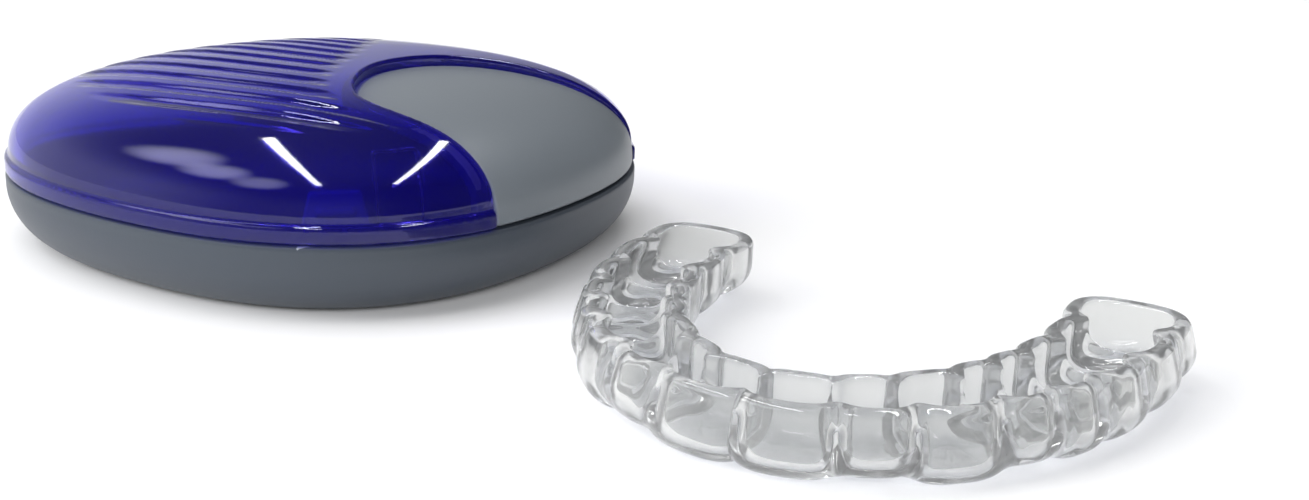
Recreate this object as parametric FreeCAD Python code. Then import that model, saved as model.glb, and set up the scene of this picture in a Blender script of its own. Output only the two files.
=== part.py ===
import FreeCAD, Part
import math
import os

# A hinged storage case for a dental mouthguard, and the clear mouthguard standing beside it.
# Millimetres. +Z is up. The origin is the centre of the case's flat foot. +X runs along the
# hinge, to the right of someone facing the catch, -Y is the catch side, +Y the hinge side.

# ---- case outline: two half ovals that share the widest line --------------------------------
HALF_WIDTH = 40.2          # case half width along X
FRONT_DEPTH = 42.1         # widest line to the catch end
BACK_DEPTH = 25.6          # widest line to the hinge end
WIDEST_Y = (FRONT_DEPTH - BACK_DEPTH) / 2
OUTLINE_PINCH = 0.059      # how far the oval's four diagonals pull in, as a fraction
OUTLINE_POINTS = 40        # fitted points round each closed section

# ---- base -----------------------------------------------------------------------------------
BASE_HEIGHT = 8.9          # foot to parting line
TURN_HEIGHT = 7.5          # height of the rounded underside, below the upright band
FOOT_INSET = 7.5           # how far the foot lies inside the rim
WALL = 1.9                 # base wall
FLOOR = 1.8                # base floor
LIP_OUTER = 1.25           # locating lip: inset of its outer and inner faces
LIP_INNER = WALL
LIP_TOP = 10.3

# ---- lid ------------------------------------------------------------------------------------
PARTING_GAP = 0.3          # shadow line between base and lid
LID_BOTTOM = BASE_HEIGHT + PARTING_GAP
FLANGE_TOP = 11.1          # top of the rim band
REBATE_TOP = 10.75         # clears the base's lip
REBATE_INSET = 0.95
DOME_INSET = 0.5           # the dome stands this far inside the rim band
LID_TOP = 23.9
COVER_WALL = 1.6
DOME_POWER = 2.2           # dome section: height = H (1 - r^DOME_POWER)^(1 / SHOULDER)
SHOULDER = 2.3
DOME_STEPS = (1.0, 0.995, 0.98, 0.955, 0.92, 0.87, 0.8, 0.7, 0.57, 0.42, 0.26, 0.1)

# ---- grooves in the cover: concentric arcs --------------------------------------------------
GROOVE_CENTRE = (45.2, 58.3 + WIDEST_Y)
GROOVE_FIRST_RADIUS = 108.4
GROOVE_PITCH = 3.4
GROOVE_COUNT = 17
GROOVE_WIDTH = 1.8
GROOVE_DEPTH = 0.3
GROOVE_FIELD = 0.80        # grooves stay within this fraction of the outline
GROOVE_MARGIN = 2.2        # and this far from the panel
# Behind the panel's nose the grooves stop along a straight line through these two plan points.
GROOVE_STOP = ((1.0, -6.0), (10.0, 20.0))
GROOVE_STOP_FRONT = -9.0   # the line starts here, just behind the panel's nose

# ---- panel let into the lid -----------------------------------------------------------------
PANEL_TOP = LID_TOP - 1.3
PANEL_INSET = 0.35
PANEL_SHOULDER = 2.7
PANEL_WALL = 1.4
PANEL_GAP = 0.2            # to the cover all round
LAP_WIDTH = 1.4            # lap that runs under the cover's edge
LAP_CLEARANCE = 0.12
LAP_THICKNESS = 1.1
# Free edge of the panel in plan, from the front rim round its nose to the right-hand rim.
PANEL_EDGE = ((18.5, -33.0), (14.8, -28.2), (9.8, -23.1), (4.9, -19.6), (1.3, -15.2),
              (1.7, -9.6), (4.2, -4.0), (8.2, 0.2), (13.4, 3.1), (19.5, 4.3), (26.0, 4.2),
              (34.0, 2.6), (44.0, 0.0))

# ---- catch at the front ---------------------------------------------------------------------
CATCH_X = -2.5
CATCH_FOOT_WIDTH = 9.0
CATCH_TOP_WIDTH = 5.6
CATCH_TOP = 14.0
CATCH_FOOT = 7.0
CATCH_THICKNESS = 1.2
CATCH_INSET = 4.1          # outline to the tongue's outer face
CATCH_BEAD_RADIUS = 0.45
CATCH_BEAD_HEIGHT = 11.9
CATCH_BEAD_LENGTH = 3.4
PAD_LEFT = 1.8             # the lid's raised pad beside the tongue
PAD_RIGHT = 6.6
PAD_TOP = 17.0
PAD_RELIEF = 0.5

# ---- hinge ----------------------------------------------------------------------------------
HINGE_Y = FRONT_DEPTH - WIDEST_Y + 2.4
HINGE_Z = 9.1
KNUCKLE_RADIUS = 1.9
PIN_RADIUS = 0.8
RUNNING_CLEARANCE = 0.05
HINGE_HALF_LENGTH = 12.0
MIDDLE_KNUCKLE_HALF = 5.0
KNUCKLE_GAP = 0.25
PIN_END = 0.2              # pin stands this far out of each end
HINGE_ARM_START = 4.6      # how far the arms reach in from the hinge axis

# ---- mouthguard -----------------------------------------------------------------------------
ARCH_HALF_WIDTH = 31.4     # outer face between the lobes, along the straight ends
ARCH_DEPTH = 42.4          # front to where the ends run straight
ARM_LENGTH = 5.5           # straight run at each open end
GUARD_HEIGHT = 7.6
GUARD_FLOOR = 2.0
OUTER_WALL = 2.0
INNER_WALL = 1.6
FRONT_BREADTH = 9.6        # outer face to inner face at the front
BACK_BREADTH = 13.2        # the same at the open ends
LOBE_HEIGHT = 0.7          # each tooth's lobe stands this far out
LOBE_SHOULDERS = (0.25, 0.75)        # where along a lobe its shoulders are
LOBE_SHOULDER_SHARE = 0.8  # share of the lobe height at its shoulders
LOBE_END_SHARE = 0.3       # the same at the open ends
LOBE_END_PULL = 0.6        # the open ends' outer corners stop this far short
INNER_FACE_SPANS = 7
TOOTH_WIDTHS = (9.7, 7.7, 8.9, 6.3, 6.2, 8.0, 9.7, 7.0)     # midline outwards, along the outer face
GUARD_FRONT = (27.15, -78.5)
GUARD_TURN_DEG = -43.0
ARCH_SAMPLES = 400

PARTS = "parts"


def outline_point(angle, inset=0.0, scale=1.0):
    """Point of the case's plan outline at a parameter angle, pulled in by inset, then scaled."""
    pinch = 1 - OUTLINE_PINCH * math.sin(2 * angle) ** 2
    depth = BACK_DEPTH if math.sin(angle) > 0 else FRONT_DEPTH
    x = (HALF_WIDTH - inset) * math.cos(angle) * pinch * scale
    y = (depth - inset) * math.sin(angle) * pinch * scale
    return x, y + WIDEST_Y


def closed_curve(points):
    """One smooth closed wire through points."""
    curve = Part.BSplineCurve()
    curve.interpolate(Points=[FreeCAD.Vector(*p) for p in points], PeriodicFlag=True)
    return Part.Wire([curve.toShape()])


def section(inset, z, scale=1.0):
    angles = [2 * math.pi * (i + 0.5) / OUTLINE_POINTS for i in range(OUTLINE_POINTS)]
    return closed_curve([(*outline_point(a, inset, scale), z) for a in angles])


def loft(sections):
    return Part.makeLoft(sections, True, False)


def prism(inset, bottom, top, scale=1.0):
    """Upright solid on the case outline."""
    face = Part.Face(section(inset, bottom, scale))
    return face.extrude(FreeCAD.Vector(0, 0, top - bottom))


def dome(inset, spring, top, shoulder):
    """Solid dome on the case outline, springing upright from its rim."""
    sections = []
    for r in DOME_STEPS:
        rise = (1 - r ** DOME_POWER) ** (1 / shoulder)
        sections.append(section(inset, spring + (top - spring) * rise, r))
    return loft(sections)


def bowl(inset, foot_inset, bottom, turn, top):
    """Solid with a rounded underside and an upright band above it."""
    sections = []
    for step in range(7):
        q = math.pi / 2 * step / 6
        pull = inset + (foot_inset - inset) * (1 - math.sin(q))
        sections.append(section(pull, bottom + (turn - bottom) * (1 - math.cos(q))))
    return loft(sections).fuse(prism(inset, turn, top)).removeSplitter()


def box(x0, x1, y0, y1, z0, z1):
    return Part.makeBox(x1 - x0, y1 - y0, z1 - z0, FreeCAD.Vector(x0, y0, z0))


def rod_along_x(radius, x0, x1, y, z):
    return Part.makeCylinder(radius, x1 - x0, FreeCAD.Vector(x0, y, z), FreeCAD.Vector(1, 0, 0))


def knuckle(x0, x1, arm_bottom, arm_top):
    """Hinge barrel with its arm back to the case wall."""
    barrel = rod_along_x(KNUCKLE_RADIUS, x0, x1, HINGE_Y, HINGE_Z)
    arm = box(x0, x1, HINGE_Y - HINGE_ARM_START, HINGE_Y, arm_bottom, arm_top)
    return barrel.fuse(arm)


def front_wall_y(inset):
    """Y of the front of the outline pulled in by inset."""
    return WIDEST_Y - FRONT_DEPTH + inset


def catch_tongue():
    """Tapered tongue of the base that rises behind the lid's front wall, with its snap bead."""
    face_y = front_wall_y(CATCH_INSET)
    corners = [(CATCH_X - CATCH_FOOT_WIDTH / 2, CATCH_FOOT), (CATCH_X + CATCH_FOOT_WIDTH / 2, CATCH_FOOT),
               (CATCH_X + CATCH_TOP_WIDTH / 2, CATCH_TOP), (CATCH_X - CATCH_TOP_WIDTH / 2, CATCH_TOP)]
    corners.append(corners[0])
    wire = Part.makePolygon([FreeCAD.Vector(x, face_y, z) for x, z in corners])
    tongue = Part.Face(wire).extrude(FreeCAD.Vector(0, CATCH_THICKNESS, 0))
    half = CATCH_BEAD_LENGTH / 2
    bead = rod_along_x(CATCH_BEAD_RADIUS, CATCH_X - half, CATCH_X + half, face_y, CATCH_BEAD_HEIGHT)
    root = box(CATCH_X - CATCH_FOOT_WIDTH / 2, CATCH_X + CATCH_FOOT_WIDTH / 2,
               front_wall_y(WALL / 2), face_y + CATCH_THICKNESS, CATCH_FOOT, BASE_HEIGHT)
    return tongue.fuse(bead).fuse(root)


def make_case_base():
    shell = bowl(0, FOOT_INSET, 0, TURN_HEIGHT, BASE_HEIGHT)
    hollow = bowl(WALL, FOOT_INSET + WALL / 2, FLOOR, TURN_HEIGHT, LIP_TOP + 1)
    lip = prism(LIP_OUTER, BASE_HEIGHT - WALL, LIP_TOP).cut(prism(LIP_INNER, BASE_HEIGHT - 3, LIP_TOP + 1))
    base = shell.cut(hollow).fuse(lip).fuse(catch_tongue())
    start = MIDDLE_KNUCKLE_HALF + KNUCKLE_GAP
    for x0, x1 in ((-HINGE_HALF_LENGTH, -start), (start, HINGE_HALF_LENGTH)):
        arm = knuckle(x0, x1, HINGE_Z - KNUCKLE_RADIUS, BASE_HEIGHT)
        base = base.fuse(arm.cut(prism(LIP_INNER, 0, LIP_TOP + 1)))
    bore = rod_along_x(PIN_RADIUS, -HINGE_HALF_LENGTH - 1, HINGE_HALF_LENGTH + 1, HINGE_Y, HINGE_Z)
    return base.cut(bore).removeSplitter()


def make_hinge_pin():
    end = HINGE_HALF_LENGTH + PIN_END
    return rod_along_x(PIN_RADIUS, -end, end, HINGE_Y, HINGE_Z)


def cover_dome(depth):
    """The cover's dome, pulled in by depth from its outer face."""
    return dome(DOME_INSET + depth, FLANGE_TOP, LID_TOP - depth, SHOULDER)


def panel_region(grow):
    """Upright solid over the panel's plan, its free edge moved outwards by grow."""
    moved = []
    for i, (x, y) in enumerate(PANEL_EDGE):
        before = PANEL_EDGE[max(i - 1, 0)]
        after = PANEL_EDGE[min(i + 1, len(PANEL_EDGE) - 1)]
        dx, dy = after[0] - before[0], after[1] - before[1]
        length = math.hypot(dx, dy)
        moved.append(FreeCAD.Vector(x - dy / length * grow, y + dx / length * grow, 0))
    # walking from the front rim round the nose keeps the panel on the right-hand side
    curve = Part.BSplineCurve()
    curve.interpolate(Points=moved)
    far_right = HALF_WIDTH + 10
    outside = [moved[-1], FreeCAD.Vector(far_right, moved[-1].y, 0),
               FreeCAD.Vector(far_right, moved[0].y, 0), moved[0]]
    wire = Part.Wire([curve.toShape()] + Part.makePolygon(outside).Edges)
    return Part.Face(wire).extrude(FreeCAD.Vector(0, 0, LID_TOP + 5))


def beyond_groove_stop():
    """Upright solid over the plan area to the right of the line where the grooves stop."""
    (x0, y0), (x1, y1) = GROOVE_STOP
    slope = (x1 - x0) / (y1 - y0)
    low, high = GROOVE_STOP_FRONT, FRONT_DEPTH * 2
    far_right = HALF_WIDTH * 2
    corners = [(x0 + slope * (low - y0), low), (far_right, low), (far_right, high), (x0 + slope * (high - y0), high)]
    corners.append(corners[0])
    wire = Part.makePolygon([FreeCAD.Vector(x, y, 0) for x, y in corners])
    return Part.Face(wire).extrude(FreeCAD.Vector(0, 0, LID_TOP + 5))


def groove_tools():
    """Everything the grooves remove: arc bands above the groove floor, inside the groove field."""
    centre = FreeCAD.Vector(*GROOVE_CENTRE, 0)
    field = prism(0, FLANGE_TOP, LID_TOP + 2, GROOVE_FIELD).cut(panel_region(GROOVE_MARGIN))
    field = field.cut(beyond_groove_stop()).cut(cover_dome(GROOVE_DEPTH))
    bands = []
    for i in range(GROOVE_COUNT):
        radius = GROOVE_FIRST_RADIUS - GROOVE_PITCH * i
        outer = Part.makeCylinder(radius + GROOVE_WIDTH / 2, LID_TOP + 5, centre)
        band = outer.cut(Part.makeCylinder(radius - GROOVE_WIDTH / 2, LID_TOP + 5, centre))
        band = field.common(band)
        if band.Solids:
            bands.append(band)
    return bands


def lid_rim_rebate():
    """Room for the base's locating lip, in the underside of the lid."""
    return prism(REBATE_INSET, LID_BOTTOM - 1, REBATE_TOP)


def catch_pad():
    """Low raised pad on the inside of the lid's front wall, beside the catch tongue."""
    start = COVER_WALL + PAD_RELIEF
    block = box(PAD_LEFT, PAD_RIGHT, front_wall_y(DOME_INSET), front_wall_y(WALL + PAD_TOP), REBATE_TOP, PAD_TOP)
    return block.cut(dome(DOME_INSET + start, REBATE_TOP - 1, LID_TOP - start, SHOULDER))


def make_lid_cover():
    outer = prism(0, LID_BOTTOM, FLANGE_TOP).fuse(cover_dome(0))
    inner = dome(DOME_INSET + COVER_WALL, REBATE_TOP, LID_TOP - COVER_WALL, SHOULDER)
    cover = outer.cut(inner).cut(lid_rim_rebate())
    cover = cover.fuse(catch_pad().common(outer))
    cover = cover.cut(panel_region(0))
    for tool in groove_tools():
        cover = cover.cut(tool)
    half = MIDDLE_KNUCKLE_HALF
    arm = knuckle(-half, half, LID_BOTTOM, FLANGE_TOP).cut(prism(REBATE_INSET, 0, LID_TOP))
    cover = cover.fuse(arm)
    bore = rod_along_x(PIN_RADIUS + RUNNING_CLEARANCE, -half - 1, half + 1, HINGE_Y, HINGE_Z)
    return cover.cut(bore)


def make_lid_panel():
    outer = dome(PANEL_INSET, LID_BOTTOM, PANEL_TOP, PANEL_SHOULDER)
    inner = dome(PANEL_INSET + PANEL_WALL, REBATE_TOP, PANEL_TOP - PANEL_WALL, SHOULDER)
    body = outer.cut(inner).cut(lid_rim_rebate()).common(panel_region(-PANEL_GAP))
    start = COVER_WALL + LAP_CLEARANCE
    lap = cover_dome(start).cut(cover_dome(start + LAP_THICKNESS)).common(panel_region(LAP_WIDTH))
    return body.fuse(lap).removeSplitter()


def arch_rows():
    """Samples along the outer face: distance from the midline, point and outward normal."""
    rows = []
    travelled = 0.0
    last = None
    for i in range(ARCH_SAMPLES + 1):
        q = math.pi / 2 * i / ARCH_SAMPLES
        x, y = ARCH_HALF_WIDTH * math.sin(q), ARCH_DEPTH * (1 - math.cos(q))
        if last:
            travelled += math.hypot(x - last[0], y - last[1])
        last = (x, y)
        nx, ny = math.sin(q) / ARCH_HALF_WIDTH, -math.cos(q) / ARCH_DEPTH
        size = math.hypot(nx, ny)
        rows.append((travelled, x, y, nx / size, ny / size))
    for i in range(1, ARCH_SAMPLES + 1):
        run = ARM_LENGTH * i / ARCH_SAMPLES
        rows.append((travelled + run, ARCH_HALF_WIDTH, ARCH_DEPTH + run, 1.0, 0.0))
    return rows


def arch_at(distance, rows):
    row = min(rows, key=lambda r: abs(r[0] - distance))
    return row[1:]


def lobe_stations():
    """Distances along the outer face, with how far each lobe stands out there."""
    stations = []
    start = 0.0
    for width in TOOTH_WIDTHS:
        stations.append((start, 0.0))
        for shoulder in LOBE_SHOULDERS:
            stations.append((start + width * shoulder, LOBE_SHOULDER_SHARE))
        start += width
    stations.append((start - LOBE_END_PULL, LOBE_END_SHARE))
    return stations


def guard_wire(outer_pull, inner_pull, end_pull, z):
    """Closed U outline: the outer and inner faces pulled in, and the open ends pulled back."""
    rows = arch_rows()
    stations = lobe_stations()
    length = sum(TOOTH_WIDTHS)
    outer, inner = [], []
    for distance, lobe in stations:
        near = min(distance, length - end_pull)
        x, y, nx, ny = arch_at(near, rows)
        out = LOBE_HEIGHT * lobe - outer_pull
        outer.append((x + nx * out, y + ny * out))
    for distance in [length * k / INNER_FACE_SPANS for k in range(INNER_FACE_SPANS + 1)]:
        near = min(distance, length - end_pull)
        x, y, nx, ny = arch_at(near, rows)
        breadth = FRONT_BREADTH + (BACK_BREADTH - FRONT_BREADTH) * near / length - inner_pull
        inner.append((x - nx * breadth, y - ny * breadth))
    edges = []
    for half in (outer, inner):
        both = [(-x, y) for x, y in reversed(half[1:])] + half
        curve = Part.BSplineCurve()
        curve.interpolate(Points=[FreeCAD.Vector(x, y, z) for x, y in both])
        edges.append(curve.toShape())
    for side in (-1, 1):
        a, b = outer[-1], inner[-1]
        edges.append(Part.makeLine(FreeCAD.Vector(side * a[0], a[1], z), FreeCAD.Vector(side * b[0], b[1], z)))
    return Part.Wire(Part.__sortEdges__(edges))


def make_mouthguard():
    body = Part.Face(guard_wire(0, 0, 0, 0)).extrude(FreeCAD.Vector(0, 0, GUARD_HEIGHT))
    channel = Part.Face(guard_wire(OUTER_WALL, INNER_WALL, OUTER_WALL, GUARD_FLOOR))
    guard = body.cut(channel.extrude(FreeCAD.Vector(0, 0, GUARD_HEIGHT)))
    guard.rotate(FreeCAD.Vector(0, 0, 0), FreeCAD.Vector(0, 0, 1), GUARD_TURN_DEG)
    guard.translate(FreeCAD.Vector(*GUARD_FRONT, 0))
    return guard


def main():
    os.makedirs(PARTS, exist_ok=True)
    makers = {
        "case_base": make_case_base,
        "hinge_pin": make_hinge_pin,
        "lid_cover": make_lid_cover,
        "lid_panel": make_lid_panel,
        "mouthguard": make_mouthguard,
    }
    for node, make in makers.items():
        shape = make()
        solids = shape.Solids
        if len(solids) == 1:
            shape = solids[0]
        bounds = shape.BoundBox
        print(node, "solids", len(solids), "valid", shape.isValid(), "volume", round(shape.Volume, 1),
              "box", [round(v, 2) for v in (bounds.XMin, bounds.XMax, bounds.YMin, bounds.YMax,
                                            bounds.ZMin, bounds.ZMax)])
        shape.exportStep(f"{PARTS}/{node}.step")


main()
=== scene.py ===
import math

import bpy
import numpy as np
from mathutils import Matrix, Vector


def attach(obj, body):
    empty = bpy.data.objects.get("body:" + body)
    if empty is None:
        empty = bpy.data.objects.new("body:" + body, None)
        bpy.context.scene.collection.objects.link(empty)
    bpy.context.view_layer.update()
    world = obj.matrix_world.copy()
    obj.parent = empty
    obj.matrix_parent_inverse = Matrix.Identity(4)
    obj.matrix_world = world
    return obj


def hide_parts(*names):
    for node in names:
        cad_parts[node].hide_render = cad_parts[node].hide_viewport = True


# Looks for the mouthguard and its hinged case. Shapes are worked out in millimetres in the
# part's frame, as signed distance fields, and turned into meshes in metres.

MM = 0.001

# ---- case outline, as in the CAD source ------------------------------------------------------
HALF_WIDTH = 40.2
FRONT_DEPTH = 42.1
BACK_DEPTH = 25.6
WIDEST_Y = (FRONT_DEPTH - BACK_DEPTH) / 2
FRONT_Y = WIDEST_Y - FRONT_DEPTH
OUTLINE_PINCH = 0.059

# ---- base --------------------------------------------------------------------------------------
BASE_HEIGHT = 8.9
TURN_HEIGHT = 7.5
FOOT_INSET = 7.5
WALL = 1.9
FLOOR = 1.8
LIP_OUTER = 1.25
LIP_TOP = 10.3

# ---- lid ---------------------------------------------------------------------------------------
LID_BOTTOM = 9.2
FLANGE_TOP = 11.1
REBATE_TOP = 10.75
REBATE_INSET = 0.95
DOME_INSET = 0.5
LID_TOP = 23.9
COVER_WALL = 1.6
DOME_POWER = 2.2
SHOULDER = 2.3
GROOVE_CENTRE = (45.2, 58.3 + WIDEST_Y)
GROOVE_FIRST_RADIUS = 108.4
GROOVE_PITCH = 3.4
GROOVE_COUNT = 17
GROOVE_WIDTH = 1.8
GROOVE_DEPTH = 0.3
GROOVE_FIELD = 0.80
GROOVE_MARGIN = 2.2
GROOVE_STOP = ((1.0, -6.0), (10.0, 20.0))
GROOVE_STOP_FRONT = -9.0

# ---- panel -------------------------------------------------------------------------------------
PANEL_TOP = LID_TOP - 1.3
PANEL_INSET = 0.35
PANEL_SHOULDER = 2.7
PANEL_WALL = 1.4
PANEL_GAP = 0.2
LAP_WIDTH = 1.4
LAP_CLEARANCE = 0.12
LAP_THICKNESS = 1.1
PANEL_EDGE = ((18.5, -33.0), (14.8, -28.2), (9.8, -23.1), (4.9, -19.6), (1.3, -15.2),
              (1.7, -9.6), (4.2, -4.0), (8.2, 0.2), (13.4, 3.1), (19.5, 4.3), (26.0, 4.2),
              (34.0, 2.6), (44.0, 0.0))

# ---- catch and hinge ---------------------------------------------------------------------------
CATCH_X = -2.5
CATCH_FOOT_WIDTH = 9.0
CATCH_TOP_WIDTH = 5.6
CATCH_TOP = 14.0
CATCH_FOOT = 7.0
CATCH_THICKNESS = 1.2
CATCH_INSET = 4.1
CATCH_BEAD_RADIUS = 0.45
CATCH_BEAD_HEIGHT = 11.9
CATCH_BEAD_LENGTH = 3.4
PAD_LEFT = 1.8
PAD_RIGHT = 6.6
PAD_TOP = 17.0
PAD_RELIEF = 0.5
HINGE_Y = FRONT_DEPTH - WIDEST_Y + 2.4
HINGE_Z = 9.1
KNUCKLE_RADIUS = 1.9
PIN_RADIUS = 0.8
HINGE_HALF_LENGTH = 12.0
MIDDLE_KNUCKLE_HALF = 5.0
KNUCKLE_GAP = 0.25
PIN_END = 0.2
HINGE_ARM_START = 4.6
RUNNING_CLEARANCE = 0.05   # lid knuckle to pin

# ---- mouthguard --------------------------------------------------------------------------------
ARCH_HALF_WIDTH = 31.4
ARCH_DEPTH = 42.4
ARM_LENGTH = 5.5
GUARD_HEIGHT = 7.6
GUARD_FLOOR = 1.45
FRONT_BREADTH = 9.6
BACK_BREADTH = 13.2
LOBE_HEIGHT = 0.7
TOOTH_WIDTHS = (9.7, 7.7, 8.9, 6.3, 6.2, 8.0, 9.7, 7.0)
TOOTH_RISES = (0.3, 0.9, 0.0, 0.8, 0.3, 0.4, 0.8, 1.3)      # biting edges above the surface
FRONT_TEETH = 3
GUARD_FRONT = (27.15, -78.5)
GUARD_TURN = math.radians(-43.0)
GUARD_WALL = 1.75
SEPTUM = 0.6               # plastic between neighbouring tooth pockets
SADDLE_HEIGHT = 5.2        # saddles between the pockets, above the surface
INWARD_LEAN = 1.3          # how far the outer wall leans in at the trim line
FISSURE_DEPTH = 0.45       # in the biting faces of the back teeth

PLAN_STEP = 0.25           # spacing of the plan look-ups


# ---- distance field helpers --------------------------------------------------------------------
def join(a, b, soft):
    """Union of two fields, rounded over soft millimetres."""
    near = np.maximum(soft - np.abs(a - b), 0) / soft
    return np.minimum(a, b) - near * near * soft / 4


def meet(a, b, soft):
    """Intersection of two fields, rounded over soft millimetres."""
    return -join(-a, -b, soft)


def smooth_step(low, high, x):
    t = np.clip((x - low) / (high - low), 0, 1)
    return t * t * (3 - 2 * t)


def rounded_corner(a, b, radius):
    """Where two half-spaces a < 0 and b < 0 meet, with a round edge."""
    p, q = a + radius, b + radius
    return np.hypot(np.maximum(p, 0), np.maximum(q, 0)) + np.minimum(np.maximum(p, q), 0) - radius


def box_field(x, y, z, low, high, radius):
    """A box with all its edges rounded."""
    inside = -1e9
    outside = 0
    for value, a, b in zip((x, y, z), low, high):
        d = np.abs(value - (a + b) / 2) - (b - a) / 2 + radius
        inside = np.maximum(inside, d)
        outside = outside + np.maximum(d, 0) ** 2
    return np.sqrt(outside) + np.minimum(inside, 0) - radius


def outline_scale(x, y, inset=0.0):
    """Scale of the pulled-in outline on which a plan point lies: 1 on the outline itself."""
    v = y - WIDEST_Y
    p = x / (HALF_WIDTH - inset)
    q = v / (np.where(v > 0, BACK_DEPTH, FRONT_DEPTH) - inset)
    size = np.hypot(p, q)
    pinch = 1 - OUTLINE_PINCH * (2 * p * q / np.maximum(size, 1e-6) ** 2) ** 2
    return size / pinch


def plan_radius(x, y):
    """Plan distance from the middle of the widest line."""
    return np.maximum(np.hypot(x, y - WIDEST_Y), 1e-6)


def inset_of(x, y):
    """How far inside the outline a plan point lies."""
    reach = plan_radius(x, y)
    inset = np.zeros_like(reach)
    for _ in range(4):
        scale = outline_scale(x, y, inset)
        inset = np.clip(inset + (1 - scale) * reach / np.maximum(scale, 0.2), -8, 20)
    return np.maximum(inset, 20 - 2 * reach)


def dome_field(x, y, z, inset, spring, top, shoulder):
    """Field of the dome: upright below its spring line, closed above it."""
    rise = top - spring
    scale = outline_scale(x, y, inset)
    reach = plan_radius(x, y) / np.maximum(scale, 1e-6)
    height = np.maximum((z - spring) / rise, 0)
    value = scale ** DOME_POWER + height ** shoulder - 1
    across = DOME_POWER * scale ** (DOME_POWER - 1) / reach
    up = shoulder * height ** (shoulder - 1) / rise
    return value / np.maximum(np.hypot(across, up), 0.02)


# ---- panel edge --------------------------------------------------------------------------------
def smooth_curve(points, samples):
    """Natural cubic spline through plan points, by chord length."""
    pts = np.array(points, float)
    knots = np.concatenate([[0], np.cumsum(np.hypot(*np.diff(pts, axis=0).T))])
    h = np.diff(knots)
    n = len(pts)
    a = np.eye(n)
    b = np.zeros((n, 2))
    for i in range(1, n - 1):
        a[i, i - 1:i + 2] = h[i - 1], 2 * (h[i - 1] + h[i]), h[i]
        b[i] = 6 * ((pts[i + 1] - pts[i]) / h[i] - (pts[i] - pts[i - 1]) / h[i - 1])
    bend = np.linalg.solve(a, b)
    t = np.linspace(0, knots[-1], samples)
    k = np.clip(np.searchsorted(knots, t, side="right") - 1, 0, n - 2)
    left, right, span = (knots[k + 1] - t)[:, None], (t - knots[k])[:, None], h[k][:, None]
    return ((bend[k] * left ** 3 + bend[k + 1] * right ** 3) / (6 * span)
            + (pts[k] / span - bend[k] * span / 6) * left
            + (pts[k + 1] / span - bend[k + 1] * span / 6) * right)


class PlanMap:
    """A function of plan position, sampled once and then looked up."""

    def __init__(self, function, low, high, step):
        self.low, self.step = np.array(low, float), step
        xs = np.arange(low[0], high[0] + step, step)
        ys = np.arange(low[1], high[1] + step, step)
        self.table = function(*np.meshgrid(xs, ys, indexing="ij"))

    def __call__(self, x, y):
        u = np.clip((x - self.low[0]) / self.step, 0, self.table.shape[0] - 1.001)
        v = np.clip((y - self.low[1]) / self.step, 0, self.table.shape[1] - 1.001)
        i, j = u.astype(int), v.astype(int)
        u, v = u - i, v - j
        t = self.table
        return ((t[i, j] * (1 - u) + t[i + 1, j] * u) * (1 - v)
                + (t[i, j + 1] * (1 - u) + t[i + 1, j + 1] * u) * v)


def edge_distance(x, y):
    """Plan distance from the panel's edge: negative on the panel's side."""
    line = smooth_curve(PANEL_EDGE, 500)
    best = np.full(x.shape, 1e9)
    side = np.zeros(x.shape)
    for (ax, ay), (bx, by) in zip(line[:-1], line[1:]):
        dx, dy = bx - ax, by - ay
        t = np.clip(((x - ax) * dx + (y - ay) * dy) / (dx * dx + dy * dy), 0, 1)
        d = np.hypot(x - ax - t * dx, y - ay - t * dy)
        closer = d < best
        best = np.where(closer, d, best)
        side = np.where(closer, np.sign((x - ax) * dy - (y - ay) * dx), side)
    beyond = (x > line[-1][0]) & (y > line[-1][1])
    side = np.where(beyond, -1, side)
    return best * -side


panel_edge = PlanMap(edge_distance, (-48, -46), (48, 46), PLAN_STEP)


# ---- case fields -------------------------------------------------------------------------------
def base_field(x, y, z):
    """Tray with a rounded underside, and the locating lip on its wall."""
    inset = inset_of(x, y)
    outer = rounded_corner(-inset, -z, FOOT_INSET)
    outer = meet(outer, z - BASE_HEIGHT, 0.5)
    radius = 6.0
    a = (WALL - inset) * radius / (FOOT_INSET + WALL / 2 - WALL)
    b = (FLOOR - z) * radius / (TURN_HEIGHT - FLOOR)
    hollow = rounded_corner(a, b, radius)
    shell = meet(outer, -hollow, 0.3)
    lip = np.maximum(LIP_OUTER - inset, inset - WALL - 0.05)
    lip = rounded_corner(lip, z - LIP_TOP, 0.25)
    lip = np.maximum(lip, BASE_HEIGHT - WALL - z)
    return join(shell, lip, 0.2)


def groove_depth(x, y):
    """Depth of the grooves at a plan point; they run out gently at their ends."""
    radius = np.hypot(x - GROOVE_CENTRE[0], y - GROOVE_CENTRE[1])
    row = np.clip(np.round((GROOVE_FIRST_RADIUS - radius) / GROOVE_PITCH), 0, GROOVE_COUNT - 1)
    across = np.abs(radius - GROOVE_FIRST_RADIUS + GROOVE_PITCH * row) - GROOVE_WIDTH / 2
    scale = outline_scale(x, y)
    (x0, y0), (x1, y1) = GROOVE_STOP
    length = math.hypot(x1 - x0, y1 - y0)
    past_stop = ((x - x0) * (y1 - y0) - (y - y0) * (x1 - x0)) / length
    stop = np.minimum(past_stop, y - GROOVE_STOP_FRONT)
    limit = np.maximum((scale - GROOVE_FIELD) * plan_radius(x, y) / np.maximum(scale, 1e-6),
                       GROOVE_MARGIN - panel_edge(x, y))
    end = meet(limit, stop, 1.0)
    return GROOVE_DEPTH * smooth_step(0.2, -0.5, meet(across, end, 1.2)) * smooth_step(0.0, -4.0, end)


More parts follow.
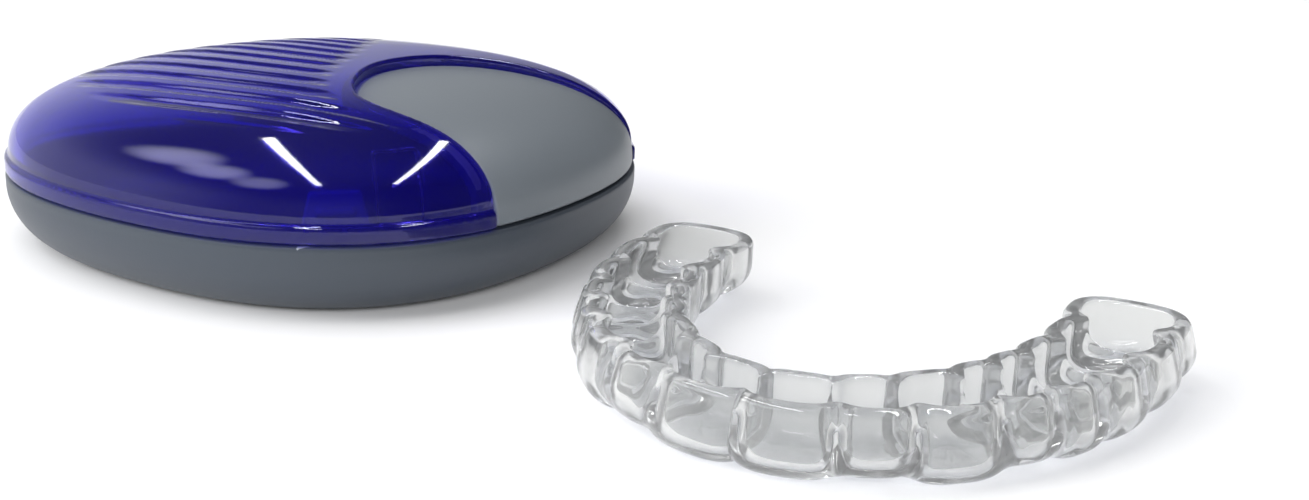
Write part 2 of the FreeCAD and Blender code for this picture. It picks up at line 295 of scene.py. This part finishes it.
def cover_field(x, y, z):
    """Dome with its rim band, grooves, pad and middle knuckle, cut out for the panel."""
    inset = inset_of(x, y)
    dome = dome_field(x, y, z, DOME_INSET, FLANGE_TOP, LID_TOP, SHOULDER) + groove_depth(x, y)
    band = meet(-inset, z - FLANGE_TOP, 0.5)
    outer = join(dome, band, 0.4)
    outer = meet(outer, LID_BOTTOM - z, 0.3)
    inner = dome_field(x, y, z, DOME_INSET + COVER_WALL, REBATE_TOP, LID_TOP - COVER_WALL, SHOULDER)
    rebate = np.maximum(REBATE_INSET - inset, z - REBATE_TOP)
    cover = meet(outer, -np.minimum(inner, rebate), 0.25)
    start = COVER_WALL + PAD_RELIEF
    pad = -dome_field(x, y, z, DOME_INSET + start, REBATE_TOP, LID_TOP - start, SHOULDER)
    block = box_field(x, y, z, (PAD_LEFT, FRONT_Y - 5, REBATE_TOP), (PAD_RIGHT, FRONT_Y + 15, PAD_TOP), 0.3)
    cover = np.maximum(join(cover, np.maximum(pad, block), 0.4), outer)
    cover = meet(cover, -panel_edge(x, y), 0.45)
    half = MIDDLE_KNUCKLE_HALF
    arm = box_field(x, y, z, (-half, HINGE_Y - HINGE_ARM_START, LID_BOTTOM), (half, HINGE_Y, FLANGE_TOP), 0.2)
    barrel = rounded_corner(np.hypot(y - HINGE_Y, z - HINGE_Z) - KNUCKLE_RADIUS, np.abs(x) - half, 0.2)
    hinge = np.maximum(join(arm, barrel, 0.5), inset - REBATE_INSET)
    cover = join(cover, hinge, 0.3)
    return np.maximum(cover, PIN_RADIUS + RUNNING_CLEARANCE - np.hypot(y - HINGE_Y, z - HINGE_Z))


def panel_field(x, y, z):
    """Panel with the lap that runs under the cover's edge."""
    inset = inset_of(x, y)
    outer = dome_field(x, y, z, PANEL_INSET, LID_BOTTOM, PANEL_TOP, PANEL_SHOULDER)
    outer = meet(outer, LID_BOTTOM - z, 0.4)
    inner = dome_field(x, y, z, PANEL_INSET + PANEL_WALL, REBATE_TOP, PANEL_TOP - PANEL_WALL, SHOULDER)
    rebate = np.maximum(REBATE_INSET - inset, z - REBATE_TOP)
    start = COVER_WALL + LAP_CLEARANCE
    end = start + LAP_THICKNESS
    lap_inner = dome_field(x, y, z, DOME_INSET + end, FLANGE_TOP, LID_TOP - end, SHOULDER)
    body = meet(outer, -np.minimum(np.maximum(inner, lap_inner), rebate), 0.25)
    body = meet(body, panel_edge(x, y) + PANEL_GAP, 0.45)
    lap_outer = dome_field(x, y, z, DOME_INSET + start, FLANGE_TOP, LID_TOP - start, SHOULDER)
    lap = np.maximum(np.maximum(lap_outer, -lap_inner), panel_edge(x, y) - LAP_WIDTH)
    lap = np.maximum(lap, LID_BOTTOM + 0.4 - z)
    return join(body, lap, 0.2)


def tongue_field(x, y, z):
    """The base's catch tongue with its snap bead and its root on the base wall."""
    face = FRONT_Y + CATCH_INSET
    along = (z - CATCH_FOOT) / (CATCH_TOP - CATCH_FOOT)
    half = (CATCH_FOOT_WIDTH + (CATCH_TOP_WIDTH - CATCH_FOOT_WIDTH) * along) / 2
    sides = rounded_corner(np.abs(x - CATCH_X) - half, z - CATCH_TOP, 0.5)
    tongue = rounded_corner(sides, np.abs(y - face - CATCH_THICKNESS / 2) - CATCH_THICKNESS / 2, 0.35)
    tongue = np.maximum(tongue, CATCH_FOOT - z)
    past_end = np.maximum(np.abs(x - CATCH_X) - CATCH_BEAD_LENGTH / 2, 0)
    bead = np.hypot(np.hypot(y - face, z - CATCH_BEAD_HEIGHT), past_end) - CATCH_BEAD_RADIUS
    root = box_field(x, y, z, (CATCH_X - CATCH_FOOT_WIDTH / 2, FRONT_Y + WALL / 2, CATCH_FOOT),
                     (CATCH_X + CATCH_FOOT_WIDTH / 2, face + CATCH_THICKNESS, BASE_HEIGHT), 0.2)
    return join(join(tongue, bead, 0.25), root, 0.4)


def base_knuckle_field(x, y, z):
    """The base's two outer knuckles, mirrored about the middle."""
    start = MIDDLE_KNUCKLE_HALF + KNUCKLE_GAP
    middle, half = (start + HINGE_HALF_LENGTH) / 2, (HINGE_HALF_LENGTH - start) / 2
    arm = box_field(np.abs(x), y, z, (start, HINGE_Y - HINGE_ARM_START, HINGE_Z - KNUCKLE_RADIUS),
                    (HINGE_HALF_LENGTH, HINGE_Y, BASE_HEIGHT), 0.2)
    barrel = rounded_corner(np.hypot(y - HINGE_Y, z - HINGE_Z) - KNUCKLE_RADIUS,
                            np.abs(np.abs(x) - middle) - half, 0.25)
    hinge = np.maximum(join(arm, barrel, 0.5), inset_of(x, y) - WALL)
    return np.maximum(hinge, PIN_RADIUS - np.hypot(y - HINGE_Y, z - HINGE_Z))


def pin_field(x, y, z):
    end = HINGE_HALF_LENGTH + PIN_END
    return rounded_corner(np.hypot(y - HINGE_Y, z - HINGE_Z) - PIN_RADIUS + 0.01, np.abs(x) - end, 0.2)


# ---- mouthguard fields, in the arch's own frame ------------------------------------------------
def arch_line():
    """Points of the outer face, with distance from the midline and outward normal."""
    q = np.linspace(0, math.pi / 2, 900)
    run = np.linspace(0.02, ARM_LENGTH + 6, 200)
    x = np.concatenate([ARCH_HALF_WIDTH * np.sin(q), np.full(200, ARCH_HALF_WIDTH)])
    y = np.concatenate([ARCH_DEPTH * (1 - np.cos(q)), ARCH_DEPTH + run])
    travelled = np.concatenate([[0], np.cumsum(np.hypot(np.diff(x), np.diff(y)))])
    nx = np.concatenate([np.sin(q) / ARCH_HALF_WIDTH, np.ones(200)])
    ny = np.concatenate([-np.cos(q) / ARCH_DEPTH, np.zeros(200)])
    size = np.hypot(nx, ny)
    return travelled, x, y, nx / size, ny / size


def arch_position(x, y):
    """Distance along the outer face from the midline, and distance outwards from that face."""
    travelled, lx, ly, nx, ny = arch_line()
    x = np.abs(x)
    shape = x.shape
    px, py = x.ravel(), y.ravel()
    along, out = np.empty(px.size), np.empty(px.size)
    for i in range(0, px.size, 4000):
        dx = px[i:i + 4000, None] - lx
        dy = py[i:i + 4000, None] - ly
        k = np.argmin(dx * dx + dy * dy, axis=1)
        rows = np.arange(k.size)
        ddx, ddy = dx[rows, k], dy[rows, k]
        along[i:i + 4000] = travelled[k] + ddx * -ny[k] + ddy * nx[k]
        out[i:i + 4000] = ddx * nx[k] + ddy * ny[k]
    return along.reshape(shape), out.reshape(shape)


arch_low, arch_high = (-40.0, -6.0), (40.0, 54.0)
arch_along = PlanMap(lambda x, y: arch_position(x, y)[0], arch_low, arch_high, PLAN_STEP)
arch_out = PlanMap(lambda x, y: arch_position(x, y)[1], arch_low, arch_high, PLAN_STEP)


def tooth_plan(along, out, half_long, half_broad):
    """Plan field of one tooth, measured from its middle."""
    u, v = np.abs(along) / half_long, np.abs(out) / half_broad
    size = np.maximum((u ** 3 + v ** 3) ** (1 / 3), 1e-3)
    slope = np.hypot((u / size) ** 2 / half_long, (v / size) ** 2 / half_broad)
    return (size - 1) / np.maximum(slope, 0.05)


def guard_field(x, y, z):
    """Walls of even thickness round the row of teeth, cut off level at the trim line."""
    along, out = arch_along(x, y), arch_out(x, y)
    lean = INWARD_LEAN * smooth_step(3.2, 9.0, z)
    length = sum(TOOTH_WIDTHS)
    body = cavity = None
    start = 0.0
    for number, (width, rise) in enumerate(zip(TOOTH_WIDTHS, TOOTH_RISES)):
        middle = start + width / 2
        breadth = FRONT_BREADTH + (BACK_BREADTH - FRONT_BREADTH) * middle / length
        outer, inner = LOBE_HEIGHT - GUARD_WALL, GUARD_WALL - breadth
        across = out - (outer + inner - lean) / 2
        half_broad = (outer - inner - lean) / 2
        fissure = 0
        if number >= FRONT_TEETH:
            fissure = FISSURE_DEPTH * np.exp(-((out - (outer + inner) / 2) / 1.3) ** 2)
        lobe = tooth_plan(along - middle, across, width / 2 + 0.15, half_broad)
        pocket = tooth_plan(along - middle, across, width / 2 - SEPTUM / 2, half_broad)
        one_body = rounded_corner(lobe - GUARD_WALL, rise + fissure - z, 3.2)
        one_cavity = rounded_corner(pocket, GUARD_FLOOR + rise + fissure - z, 1.5)
        body = one_body if body is None else join(body, one_body, 1.2)
        cavity = one_cavity if cavity is None else join(cavity, one_cavity, 1.0)
        start += width
    body = rounded_corner(body, z - GUARD_HEIGHT, 0.8)
    # above the saddles between the pockets the channel runs right through
    breadth = FRONT_BREADTH + (BACK_BREADTH - FRONT_BREADTH) * np.clip(along / length, 0, 1)
    outer, inner = LOBE_HEIGHT - GUARD_WALL, GUARD_WALL - breadth
    across = np.abs(out - (outer + inner - lean) / 2) - (outer - inner - lean) / 2 + 1.5
    channel = rounded_corner(np.maximum(across, along - length + 4), SADDLE_HEIGHT - z, 1.2)
    cavity = join(cavity, channel, 1.2)
    return meet(body, -cavity, 0.7)


# ---- fields to meshes --------------------------------------------------------------------------
def surface_nets(field, low, high, pitch):
    """Vertices and quads of the zero surface of field, one vertex in each cell that it crosses."""
    counts = np.ceil((np.array(high) - np.array(low)) / pitch).astype(int) + 1
    xs, ys, zs = (low[k] + pitch * np.arange(counts[k]) for k in range(3))
    values = np.empty(counts, np.float32)
    for i in range(0, counts[0], 32):
        values[i:i + 32] = field(xs[i:i + 32, None, None], ys[None, :, None], zs[None, None, :])
    ids, points, quads = [], [], []
    for axis in range(3):
        first = np.take(values, range(counts[axis] - 1), axis)
        second = np.take(values, range(1, counts[axis]), axis)
        crossed = np.argwhere((first < 0) != (second < 0))
        a, b = first[tuple(crossed.T)], second[tuple(crossed.T)]
        point = crossed.astype(float)
        point[:, axis] += a / (a - b)
        ring = []
        for du, dv in ((0, 0), (1, 0), (1, 1), (0, 1)):
            cell = crossed.copy()
            cell[:, (axis + 1) % 3] -= du
            cell[:, (axis + 2) % 3] -= dv
            cell_id = (cell[:, 0] * counts[1] + cell[:, 1]) * counts[2] + cell[:, 2]
            ids.append(cell_id)
            points.append(point)
            ring.append(cell_id)
        ring = np.stack(ring, 1)
        ring[a > 0] = ring[a > 0][:, ::-1]
        quads.append(ring)
    ids, points, quads = np.concatenate(ids), np.concatenate(points), np.concatenate(quads)
    unique, slots = np.unique(ids, return_inverse=True)
    total = np.stack([np.bincount(slots, points[:, k]) for k in range(3)], 1)
    verts = total / np.bincount(slots)[:, None]
    verts = np.array(low) + verts * pitch
    faces = np.searchsorted(unique, quads)
    return verts, faces


def slope_at(field, p, step):
    """Gradient of field at points p, by central differences."""
    rows = []
    for k in range(3):
        shift = np.zeros(3)
        shift[k] = step
        a, b = p + shift, p - shift
        rows.append((field(a[:, 0], a[:, 1], a[:, 2]) - field(b[:, 0], b[:, 1], b[:, 2])) / (2 * step))
    return np.stack(rows, 1)


def field_mesh(name, field, low, high, pitch, place=None):
    """Object whose surface is the zero surface of field. place moves its points to the row frame."""
    verts, faces = surface_nets(field, low, high, pitch)
    for _ in range(2):
        value = field(verts[:, 0], verts[:, 1], verts[:, 2])
        slope = slope_at(field, verts, pitch * 0.25)
        steps = value / np.maximum((slope ** 2).sum(1), 0.05)
        move = slope * steps[:, None]
        size = np.linalg.norm(move, axis=1)
        verts -= move * np.minimum(1, 0.45 * pitch / np.maximum(size, 1e-9))[:, None]
    normals = slope_at(field, verts, pitch * 0.35)
    normals /= np.maximum(np.linalg.norm(normals, axis=1), 1e-9)[:, None]
    if place is not None:
        verts, normals = place(verts), place(normals) - place(np.zeros((1, 3)))
    mesh = bpy.data.meshes.new(name)
    mesh.from_pydata((verts * MM).tolist(), [], faces.tolist())
    mesh.polygons.foreach_set("use_smooth", np.ones(len(faces), bool))
    mesh.normals_split_custom_set_from_vertices(normals.tolist())
    obj = bpy.data.objects.new(name, mesh)
    bpy.context.scene.collection.objects.link(obj)
    return obj


# ---- materials ---------------------------------------------------------------------------------
def new_material(name):
    material = bpy.data.materials.new(name)
    material.use_nodes = True
    tree = material.node_tree
    return material, tree, tree.nodes["Principled BSDF"], tree.nodes["Material Output"]


def add_grain(tree, shader, scale, strength, distance):
    """Fine moulded texture."""
    place = tree.nodes.new("ShaderNodeTexCoord")
    noise = tree.nodes.new("ShaderNodeTexNoise")
    noise.inputs["Scale"].default_value = scale
    noise.inputs["Detail"].default_value = 3
    bump = tree.nodes.new("ShaderNodeBump")
    bump.inputs["Strength"].default_value = strength
    bump.inputs["Distance"].default_value = distance
    tree.links.new(place.outputs["Object"], noise.inputs["Vector"])
    tree.links.new(noise.outputs["Fac"], bump.inputs["Height"])
    tree.links.new(bump.outputs["Normal"], shader.inputs["Normal"])


def light_passes(tree, shader, output, colour):
    """Lets lamps shine through a clear plastic, tinted by colour."""
    path = tree.nodes.new("ShaderNodeLightPath")
    clear = tree.nodes.new("ShaderNodeBsdfTransparent")
    clear.inputs["Color"].default_value = (*colour, 1)
    mix = tree.nodes.new("ShaderNodeMixShader")
    tree.links.new(path.outputs["Is Shadow Ray"], mix.inputs[0])
    tree.links.new(shader.outputs[0], mix.inputs[1])
    tree.links.new(clear.outputs[0], mix.inputs[2])
    tree.links.new(mix.outputs[0], output.inputs["Surface"])


def grey_plastic(name, colour, roughness):
    material, tree, shader, _ = new_material(name)
    shader.inputs["Base Color"].default_value = (*colour, 1)
    shader.inputs["Roughness"].default_value = roughness
    shader.inputs["IOR"].default_value = 1.5
    add_grain(tree, shader, 2600, 0.12, 0.0001)
    return material


def blue_plastic():
    material, tree, shader, output = new_material("blue_clear_plastic")
    shader.inputs["Base Color"].default_value = (0.05, 0.036, 0.56, 1)
    shader.inputs["Roughness"].default_value = 0.05
    shader.inputs["IOR"].default_value = 1.5
    shader.inputs["Transmission Weight"].default_value = 0.93
    light_passes(tree, shader, output, (0.25, 0.22, 0.75))
    return material


def clear_plastic():
    material, tree, shader, output = new_material("clear_guard_plastic")
    shader.inputs["Base Color"].default_value = (0.76, 0.766, 0.756, 1)
    shader.inputs["Roughness"].default_value = 0.035
    shader.inputs["IOR"].default_value = 1.47
    shader.inputs["Transmission Weight"].default_value = 0.9
    light_passes(tree, shader, output, (0.69, 0.70, 0.74))
    return material


def steel():
    material, tree, shader, _ = new_material("pin_steel")
    shader.inputs["Base Color"].default_value = (0.6, 0.6, 0.61, 1)
    shader.inputs["Metallic"].default_value = 1.0
    shader.inputs["Roughness"].default_value = 0.28
    add_grain(tree, shader, 4000, 0.05, 0.00005)
    return material


# ---- the object --------------------------------------------------------------------------------
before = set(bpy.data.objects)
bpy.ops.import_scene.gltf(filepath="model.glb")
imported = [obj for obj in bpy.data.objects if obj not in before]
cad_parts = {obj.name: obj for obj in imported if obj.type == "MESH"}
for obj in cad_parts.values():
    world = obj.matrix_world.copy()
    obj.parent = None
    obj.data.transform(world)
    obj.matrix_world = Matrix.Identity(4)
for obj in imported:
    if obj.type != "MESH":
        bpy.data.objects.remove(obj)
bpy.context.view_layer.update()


def place_guard(p):
    """From the arch's own frame to where the mouthguard stands."""
    c, s = math.cos(GUARD_TURN), math.sin(GUARD_TURN)
    return np.stack([p[:, 0] * c - p[:, 1] * s + GUARD_FRONT[0],
                     p[:, 0] * s + p[:, 1] * c + GUARD_FRONT[1], p[:, 2]], 1)


def dress(obj, material, body, slot, *nodes):
    obj.data.materials.append(material)
    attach(obj, body)
    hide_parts(*nodes)
    return obj


base_grey = grey_plastic("base_grey", (0.05, 0.061, 0.078), 0.42)
# painted highlight: the catch tongue is the same grey plastic as the base, painted a lighter grey so that it
# stands out through the blue lid as if its edges caught the light
catch_painted_highlight_grey = grey_plastic("catch_painted_highlight_grey", (0.3, 0.325, 0.37), 0.18)
panel_grey = grey_plastic("panel_grey", (0.168, 0.189, 0.212), 0.38)
blue = blue_plastic()
clear = clear_plastic()
pin_steel = steel()

CASE_LOW, CASE_HIGH = (-41.07, -34.67), (41.0, 39.0)
dress(field_mesh("base_shell", base_field, (*CASE_LOW, -0.6), (*CASE_HIGH, 11.0), 0.36),
      base_grey, "base", "case_grey", "case_base")
dress(field_mesh("catch_tongue", tongue_field, (CATCH_X - 5.2, FRONT_Y, 6.2),
                 (CATCH_X + 5.2, FRONT_Y + 5.4, 14.8), 0.15),
      catch_painted_highlight_grey, "base", "case_grey", "case_base")
dress(field_mesh("base_knuckles", base_knuckle_field, (-12.6, 31.0, 6.6), (12.6, 38.8, 11.6), 0.18),
      base_grey, "base", "case_grey", "case_base")
dress(field_mesh("hinge_pin_rod", pin_field, (-12.6, 35.0, 7.9), (12.6, 37.5, 10.3), 0.14),
      pin_steel, "base", "pin_steel", "hinge_pin")
dress(field_mesh("lid_cover_shell", cover_field, (*CASE_LOW, 6.6), (*CASE_HIGH, 24.6), 0.3),
      blue, "lid", "lid_blue", "lid_cover")
dress(field_mesh("lid_panel_shell", panel_field, (-5.0, -34.6, 8.6), (41.0, 8.0, 23.6), 0.3),
      panel_grey, "lid", "panel_grey", "lid_panel")
dress(field_mesh("mouthguard_shell", guard_field, (-34.0, -2.0, -0.6), (34.0, 49.5, 8.2), 0.26, place_guard),
      clear, "guard", "guard_clear", "mouthguard")


# ---- floor, lights and camera ------------------------------------------------------------------
def floor_disc(radius):
    mesh = bpy.data.meshes.new("floor")
    rim = [(radius * math.cos(a), radius * math.sin(a), 0) for a in np.linspace(0, 2 * math.pi, 97)[:-1]]
    mesh.from_pydata(rim, [], [list(range(96))])
    obj = bpy.data.objects.new("floor", mesh)
    bpy.context.scene.collection.objects.link(obj)
    material, tree, shader, _ = new_material("floor_white")
    shader.inputs["Base Color"].default_value = (0.9, 0.9, 0.905, 1)
    shader.inputs["Roughness"].default_value = 0.8
    shader.inputs["Specular IOR Level"].default_value = 0.1
    mesh.materials.append(material)


def area_lamp(name, where, aim, size, power, in_reflections, spin=0.0):
    """Rectangular lamp at where, shining at aim, turned by spin about its beam.

    It is seen only in reflections, or else only lights the surfaces.
    """
    data = bpy.data.lights.new(name, "AREA")
    data.shape = "RECTANGLE"
    data.size, data.size_y = size
    data.energy = power
    obj = bpy.data.objects.new(name, data)
    way = Vector(aim) - Vector(where)
    turn = way.to_track_quat("-Z", "Y").to_matrix().to_4x4() @ Matrix.Rotation(spin, 4, "Z")
    obj.matrix_world = Matrix.Translation(where) @ turn
    bpy.context.scene.collection.objects.link(obj)
    obj.visible_diffuse = not in_reflections
    obj.visible_glossy = obj.visible_transmission = in_reflections


floor_disc(4.0)

world = bpy.data.worlds.new("studio")
bpy.context.scene.world = world
world.use_nodes = True
tree = world.node_tree
direction = tree.nodes.new("ShaderNodeTexCoord").outputs["Generated"]


def blend(value, start, end, low, high):
    """Socket that goes smoothly from low to high as value goes from start to end."""
    ramp = tree.nodes.new("ShaderNodeMapRange")
    ramp.interpolation_type = "SMOOTHSTEP"
    for socket, number in zip(("From Min", "From Max", "To Min", "To Max"), (start, end, low, high)):
        ramp.inputs[socket].default_value = number
    tree.links.new(value, ramp.inputs["Value"])
    return ramp.outputs[0]


def combine(operation, a, b):
    node = tree.nodes.new("ShaderNodeMath")
    node.operation = operation
    tree.links.new(a, node.inputs[0])
    tree.links.new(b, node.inputs[1])
    return node.outputs[0]


def glow(toward, reach, core, strength):
    """A soft round light in the sky; reach and core are angles from its middle."""
    node = tree.nodes.new("ShaderNodeVectorMath")
    node.operation = "DOT_PRODUCT"
    tree.links.new(direction, node.inputs[0])
    node.inputs[1].default_value = Vector(toward).normalized()
    return blend(node.outputs["Value"], math.cos(reach), math.cos(core), 0.0, strength)


# bright low down, behind and to the left of the object, and dimmer elsewhere
split = tree.nodes.new("ShaderNodeSeparateXYZ")
tree.links.new(direction, split.inputs[0])
sky = combine("MULTIPLY", blend(split.outputs["Z"], 0.3, 0.75, 0.9, 0.11),
              blend(split.outputs["Y"], -0.7, 0.1, 0.25, 1.0))
sky = combine("MULTIPLY", sky, blend(split.outputs["X"], -0.1, 0.5, 1.0, 0.12))
for toward, reach, core, strength in (((-0.55, 0.32, 0.77), 0.2, 0.0, 3.4),
                                      ((-0.58, 0.05, 0.81), 0.2, 0.0, 3.6),
                                      ((-0.50, -0.25, 0.83), 0.2, 0.0, 2.6)):
    sky = combine("ADD", sky, glow(toward, reach, core, strength))
tree.nodes["Background"].inputs["Color"].default_value = (0.97, 0.98, 1.0, 1)
tree.links.new(sky, tree.nodes["Background"].inputs["Strength"])

# two narrow tubes for the streaks of light on the lid, and three soft lamps for the shading
area_lamp("tube_left", (-0.16, 0.062, 0.8), (-0.16, 0.062, 0), (0.036, 0.86), 2.4, True)
area_lamp("tube_right", (0.32, 0.045, 0.8), (0.32, 0.045, 0), (0.036, 0.82), 2.2, True, -0.1)
area_lamp("soft_top", (-0.3, 0.6, 3.0), (0, 0.6, 0), (3.0, 3.0), 52, False)
area_lamp("soft_left", (-3.0, -0.3, 1.5), (0, 0, 0), (2.0, 2.0), 76, False)
area_lamp("soft_front", (-0.4, -3.0, 1.6), (0, 0, 0), (3.0, 1.4), 82, False)

# the camera stands low in front of the case, looking down a little and to the right
EYE = Vector((-0.01502, -0.20012, 0.0590))
HEADING, DIP, ROLL = 0.2790, 0.2900, 0.0420
forward = Vector((math.sin(HEADING) * math.cos(DIP), math.cos(HEADING) * math.cos(DIP), -math.sin(DIP)))
right = forward.cross(Vector((0, 0, 1))).normalized()
up = right.cross(forward)
across = right * math.cos(ROLL) + up * math.sin(ROLL)
upward = up * math.cos(ROLL) - right * math.sin(ROLL)
camera_data = bpy.data.cameras.new("camera")
camera_data.sensor_width = 36.0
camera_data.lens = 43.81
camera_data.clip_start = 0.005
camera_data.clip_end = 20
camera = bpy.data.objects.new("camera", camera_data)
camera.matrix_world = Matrix(((across.x, upward.x, -forward.x, EYE.x),
                              (across.y, upward.y, -forward.y, EYE.y),
                              (across.z, upward.z, -forward.z, EYE.z),
                              (0, 0, 0, 1)))
bpy.context.scene.collection.objects.link(camera)
bpy.context.scene.camera = camera
bpy.context.scene.view_settings.view_transform = "Standard"
